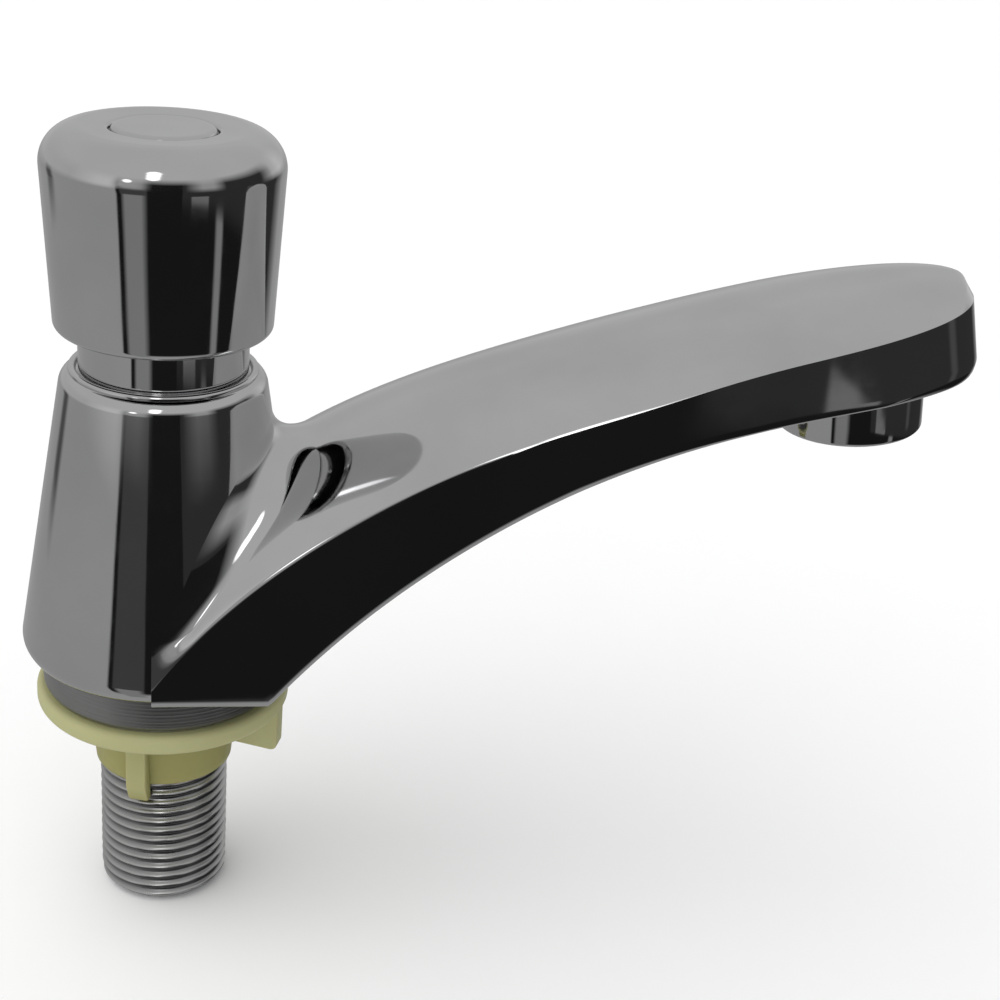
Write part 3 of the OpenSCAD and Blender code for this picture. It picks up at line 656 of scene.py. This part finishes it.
# Shank: bore, thread, relief, a collar of r = collarR - lineDepth |sin(pi z / line)|^0.5, spigot and well
def shankNet():
    s = shankSet
    steps = s["steps"]
    z = np.linspace(threadEnd, s["threadTop"], s["threadRows"])
    collarZ = np.linspace(washerTop + 1.4, footZ, s["collarRows"])
    lathe = s["collarR"] - s["lineDepth"] * np.abs(np.sin(np.pi * collarZ / s["line"])) ** 0.5
    below = np.concatenate([
        line((s["bore"], s["wellZ"]), (s["bore"], threadEnd + 0.4), 4),
        line((s["bore"] + 0.4, threadEnd), (s["major"] - s["chamfer"] - 0.3, threadEnd), 3)])
    above = np.concatenate([
        line((s["relief"], s["threadTop"] + 0.8), (s["relief"], washerTop), 3),
        line((s["relief"], washerTop), (s["collarR"] - s["collarEdge"], washerTop), 8)[1:],
        arc(s["collarR"] - s["collarEdge"] - 0.3, washerTop + 1.3, 1.2, -80, -5, 7),
        np.stack([lathe, collarZ], 1),
        line((s["spigot"], footZ), (s["spigot"], s["spigotTop"]), 3),
        line((s["well"], s["spigotTop"]), (s["well"], s["wellZ"]), 3)])
    return np.concatenate([turnedProfile(below, steps), turned(threadNet(z, steps), z, steps),
                           turnedProfile(above, steps)])


shank = makePiece("threadedShank", [(shankNet(), True)], shankMat)
settle(shank, "tap", "turned_steel", "shank")

# Locating washer: flange, tapered hub, two lugs out to the rim and two deep fins
washerSet = dict(rimR=20.4, bore=10.78, edge=1.1, hubR=12.2, hubEnd=11.15, hubLen=11.2, finT=3.3, lugH=7.2,
                 finH=13.9, finR=13.5, turn=-17.0, soft=0.35, finIn=11.0, finTop=0.6,
                 lugRound=(0.1, 0.3, 1.3, 0.1), finRound=(0.1, 0.3, 0.5, 0.8, 0.1))


# Washer: a hub that tapers by a straight line, quarter circles up to the flange and round its rim, a bore
def washerNet():
    s = washerSet
    return turnedProfile(np.concatenate([
        line((s["bore"], -s["hubLen"]), (s["hubEnd"] - 0.15, -s["hubLen"]), 3),
        line((s["hubEnd"], -s["hubLen"] + 0.2), (s["hubR"], -1.0), 10),
        arc(s["hubR"] + 0.9, -0.9, 0.9, 180, 95, 6),
        line((s["hubR"] + 1.0, 0), (s["rimR"] - s["edge"], 0), 4),
        arc(s["rimR"] - s["edge"], s["edge"], s["edge"], -80, -5, 8),
        arc(s["rimR"] - s["edge"], washerTop - s["edge"], s["edge"], 5, 88, 8),
        line((s["rimR"] - s["edge"], washerTop), (s["bore"], washerTop), 4)[1:],
        line((s["bore"], washerTop), (s["bore"], -s["hubLen"]), 4)[1:-1],
    ]), 240)


# Slab with rounded edges: its outline (r, z), shrunk by a quarter circle at both faces, set at an angle
def slabNet(corners, radii, angle, thick, soft):
    p = np.array(corners, float)
    before, after = unit(np.roll(p, 1, 0) - p), unit(np.roll(p, -1, 0) - p)
    k = np.array(radii)[:, None]
    outline = rounded(p + before * k, p, p + after * k, 6).transpose(1, 0, 2).reshape(-1, 2)
    centre = outline.mean(0)
    reach = np.linalg.norm(outline - centre, axis=1, keepdims=True)
    q = np.radians(np.linspace(0, 90, 6))
    inset = np.concatenate([soft * (1 - np.sin(q)), soft * (1 - np.sin(q[::-1]))])
    side = np.concatenate([soft * (1 - np.cos(q)) - thick / 2, thick / 2 - soft * (1 - np.cos(q[::-1]))])
    shrink = np.concatenate([[reach.max()], inset, [reach.max()]])[:, None, None]
    side = np.concatenate([[-thick / 2], side, [thick / 2]])
    flat = centre + (outline - centre) * np.clip(1 - shrink / reach, 0, 1)
    y = np.broadcast_to(side[:, None], flat.shape[:2])
    c, w = math.cos(math.radians(angle)), math.sin(math.radians(angle))
    return np.stack([flat[..., 0] * c - y * w, flat[..., 0] * w + y * c, flat[..., 1]], -1)


# Two lugs and two fins: slabs set round the hub, each pair half a turn apart
def finNets():
    s = washerSet
    inner, top = s["finIn"], s["finTop"]
    lug = [(inner, top), (inner, -s["lugH"] + 0.7), (s["rimR"] - 0.5, -s["lugH"]), (s["rimR"] - 0.4, top)]
    fin = [(inner, top), (inner, -s["finH"]), (s["finR"] - 1.3, -s["finH"]), (s["finR"], -s["hubLen"] + 0.4),
           (s["finR"], top)]
    nets = [slabNet(lug, s["lugRound"], s["turn"] + a, s["finT"], s["soft"]) for a in (0, 180)]
    nets += [slabNet(fin, s["finRound"], s["turn"] + a, s["finT"], s["soft"]) for a in (90, 270)]
    return [(net, False) for net in nets]


washer = makePiece("locatingWasher", [(washerNet(), True)] + finNets(), washerMat)
settle(washer, "tap", "yellow_plastic", "locating_washer")

# Aerator housing under the boss
aeratorSet = dict(radius=11.7, drop=4.5, edge=0.6, cage=9.2, lip=0.9, sill=1.0, top=7.0)


# Outlet ring: a straight side about the leaning axis, a quarter circle below it and a stepped bore
def housingNet():
    s = aeratorSet
    return atOutlet(turnedProfile(np.concatenate([
        line((s["cage"] - s["lip"], 0.4 - s["drop"]), (s["cage"] - s["lip"] + 0.4, -s["drop"]), 3),
        line((s["cage"] - s["lip"] + 0.5, -s["drop"]), (s["radius"] - s["edge"], -s["drop"]), 3),
        arc(s["radius"] - s["edge"], s["edge"] - s["drop"], s["edge"], -80, 0, 7),
        line((s["radius"], s["edge"] - s["drop"]), (s["radius"], s["top"]), 6)[1:],
        line((s["cage"], s["top"]), (s["cage"], s["sill"] - s["drop"]), 3),
        line((s["cage"] - s["lip"], s["sill"] - s["drop"]), (s["cage"] - s["lip"], 0.4 - s["drop"]), 2)[:1],
    ]), 240))


housing = makePiece("aeratorHousing", [(housingNet(), True)], chromeMat)
settle(housing, "tap", "chrome", "aerator_housing")

# Return spring: a round wire carried along a helix whose ends lie closer, as the CAD's does
springSet = dict(coilR=9.0, wire=1.3, coils=4, slack=0.22, steps=240, sides=16, travel=5.0)


# Spring: a circle of wire round (coilR cos a, coilR sin a, rise (t - slack sin(2 pi t) / (2 pi))),
# where a = 2 pi coils t
def springNet():
    s = springSet
    low, high = boxOf("return_spring")
    t = np.linspace(0, 1, s["steps"])[:, None]
    turn = 2 * np.pi * s["coils"] * t
    rise = high[2] - low[2] - s["wire"]
    height = low[2] + s["wire"] / 2 + rise * (t - s["slack"] * np.sin(2 * np.pi * t) / (2 * np.pi))
    b = np.linspace(0, 2 * np.pi, s["sides"], endpoint=False)
    r = s["coilR"] + s["wire"] / 2 * np.cos(b)
    wire = np.stack([r * np.cos(turn), r * np.sin(turn), height + s["wire"] / 2 * np.sin(b)], -1)
    ends = wire[[0, -1]].mean(1, keepdims=True) + np.zeros_like(wire[:1])
    return np.concatenate([ends[:1], wire, ends[1:]]), low[2], 1 - s["travel"] / (high[2] - low[2])


springPoints, springFoot, springKeep = springNet()
spring = makePiece("returnSpring", [(springPoints, False)], steelMat)
settle(spring, "tap", "spring_steel", "return_spring")
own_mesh(spring)


# Camera axes from yaw, pitch and roll in radians
def rotation(yaw, pitch, roll):
    cy, sy, cp, sp = math.cos(yaw), math.sin(yaw), math.cos(pitch), math.sin(pitch)
    forward = np.array([sy * cp, cy * cp, -sp])
    right = np.array([cy, -sy, 0.0])
    up = np.cross(right, forward)
    c, s = math.cos(roll), math.sin(roll)
    return c * right + s * up, c * up - s * right, forward


cameraSet = dict(place=(13.43, -256.22, 151.8), yaw=0.1554, pitch=0.4198, roll=0.0854, lens=63.01)
camData = bpy.data.cameras.new("camera")
camData.sensor_width = 36
camData.lens = cameraSet["lens"]
camData.clip_start = 0.01
cam = bpy.data.objects.new("camera", camData)
bpy.context.collection.objects.link(cam)
right, up, forward = rotation(cameraSet["yaw"], cameraSet["pitch"], cameraSet["roll"])
place = np.eye(4)
place[:3, 0], place[:3, 1], place[:3, 2] = right, up, -forward
place[:3, 3] = np.array(cameraSet["place"]) * mm
cam.matrix_world = Matrix(place.tolist())
bpy.context.scene.camera = cam

bpy.context.scene.view_settings.view_transform = "Standard"
print("camera set")

# White floor just under the shank, lit evenly so that it shows as white and keeps the shadow
floorSet = dict(half=4000.0, gap=0.15, sun=0.42, sunSpread=60.0, sunTurn=(0.25, -0.3, 0.0), sky=0.93)
corner = floorSet["half"] * mm
level = (threadEnd - floorSet["gap"]) * mm
sheet = bpy.data.meshes.new("floor")
sheet.from_pydata([(-corner, -corner, level), (corner, -corner, level), (corner, corner, level),
                   (-corner, corner, level)], [], [(0, 1, 2, 3)])
floor = bpy.data.objects.new("floor", sheet)
bpy.context.collection.objects.link(floor)
paperMat = mouldedFinish("whitePaper", (0.99, 0.99, 0.99), (0.985, 0.985, 0.985), 0.85, 0.95, 400.0, 0.02)
sheet.materials.append(paperMat)
floor.visible_glossy = False  # the chrome mirrors the room below instead

sunData = bpy.data.lights.new("softSun", "SUN")
sunData.energy = floorSet["sun"]
sunData.angle = math.radians(floorSet["sunSpread"])
sun = bpy.data.objects.new("softSun", sunData)
sun.rotation_euler = floorSet["sunTurn"]
sun.visible_glossy = False
bpy.context.collection.objects.link(sun)

# The room that the chrome mirrors: dark behind the camera, pale walls left and behind the tap, pale ceiling.
# A panel is its span of azimuth from +X and of height in degrees, its brightness, and how soft its first
# side, its last side and its upper and lower edges are. A lamp is its direction, the angles within which it
# is full and beyond which it is out, and its brightness
roomSet = dict(
    ground=0.4, groundTop=(-50.0, -34.0), dark=0.0125, ceiling=0.595, wallTop=(13.0, 30.0), lean=0.62,
    panels=dict(
        leftWall=((-200, -131), (-60, 40), 0.39, (1, 1, 1)),
        curtain=((-125, -105), (-60, 40), 0.27, (2, 3, 1)),
        curtainDim=((-127, -103), (-18, -2), 0.065, (1, 1, 1)),
        strip=((-36.8, -29.8), (-60, -20.8), 0.28, (1.5, 1.2, 0.6)),
        shelf=((-70.6, 44), (-20.8, 40), 0.036, (0.4, 4, 0.6)),
        card=((-62, -45.5), (-20.6, -18.2), 0.21, (0.6, 0.6, 0.2)),
        tipStrip=((-5.5, 1.5), (-18, -6), 0.085, (1.5, 2, 1)),
        farWall=((46, 200), (-60, 40), 0.39, (9, 1, 1)),
        backEdge=((141, 152), (-17.5, -2), 0.1, (3, 3, 1.5)),
        leftTop=((-200, -131), (-4, 40), 0.54, (1, 4, 5)),
        leftGlow=((-164, -133), (-4, 40), 0.7, (15, 5, 5)),
        curtainTop=((-131, -106), (-1, 40), 0.44, (4, 8, 6)),
        window=((-60, -35), (-2, 40), 0.42, (8, 6, 6)),
        farTop=((22, 200), (-4, 40), 0.54, (9, 1, 5)),
        farWindow=((36, 54), (-4, 40), 0.72, (9, 9, 5)),
    ),
    lamps=[((-98, 31), 4.0, 7.0, 1.8), ((-98, 38), 4.0, 7.0, 1.8), ((-98, 45), 4.0, 7.0, 1.8),
           ((-121, 18), 2.5, 5.0, 1.8)],
)


def heading(azimuth, height):  # unit vector of a direction in degrees
    a, e = math.radians(azimuth), math.radians(height)
    return math.cos(a) * math.cos(e), math.sin(a) * math.cos(e), math.sin(e)


# Mask of a span: rises over its first edge and falls over its last, each twice its softness wide
def within(tree, value, first, last, softFirst, softLast):
    rise = span(tree, value, first - softFirst, first + softFirst, 0, 1)
    return math2(tree, "MULTIPLY", rise, span(tree, value, last - softLast, last + softLast, 1, 0))


# Ground that fades to the dark, each panel mixed in by its masks, the ceiling above, and the lamps added.
# Mirror rays see that, diffuse rays an even sky that fades along X, and the camera white
def buildRoom():
    s = roomSet
    world = bpy.data.worlds.new("room")
    world.use_nodes = True
    tree = world.node_tree
    toward = addNode(tree, "TexCoord").outputs["Generated"]
    part = addNode(tree, "SeparateXYZ", {0: toward}).outputs
    azimuth = math2(tree, "DEGREES", math2(tree, "ARCTAN2", part[1], part[0]))
    height = math2(tree, "DEGREES", math2(tree, "ARCSINE", part[2]))
    light = span(tree, height, *s["groundTop"], s["ground"], s["dark"])
    for sides, levels, value, (softFirst, softLast, softLevel) in s["panels"].values():
        across = within(tree, azimuth, *sides, softFirst, softLast)
        mask = math2(tree, "MULTIPLY", across, within(tree, height, *levels, softLevel, softLevel))
        light = addNode(tree, "Mix", {0: mask, 2: light, 3: value}).outputs[0]
    above = span(tree, height, *s["wallTop"], 0, 1)
    light = addNode(tree, "Mix", {0: above, 2: light, 3: s["ceiling"]}).outputs[0]
    for place, inner, outer, power in s["lamps"]:
        near = addNode(tree, "VectorMath", {0: toward, 1: heading(*place)}, operation="DOT_PRODUCT")
        outermost, innermost = math.cos(math.radians(outer)), math.cos(math.radians(inner))
        glow = span(tree, near.outputs["Value"], outermost, innermost, 0, power)
        light = math2(tree, "ADD", light, glow)
    ray = addNode(tree, "LightPath").outputs
    sky = span(tree, part[0], -1, 1, floorSet["sky"] * (1 + s["lean"]), floorSet["sky"] * (1 - s["lean"]))
    mirrored = addNode(tree, "Mix", {0: ray["Is Glossy Ray"], 6: sky, 7: light}, data_type="RGBA")
    shown = addNode(tree, "Mix", {0: ray["Is Camera Ray"], 6: mirrored.outputs[2], 7: (1, 1, 1, 1)},
                    data_type="RGBA")
    tree.links.new(shown.outputs[2], tree.nodes["Background"].inputs[0])
    return world


bpy.context.scene.world = buildRoom()
print("stage set")
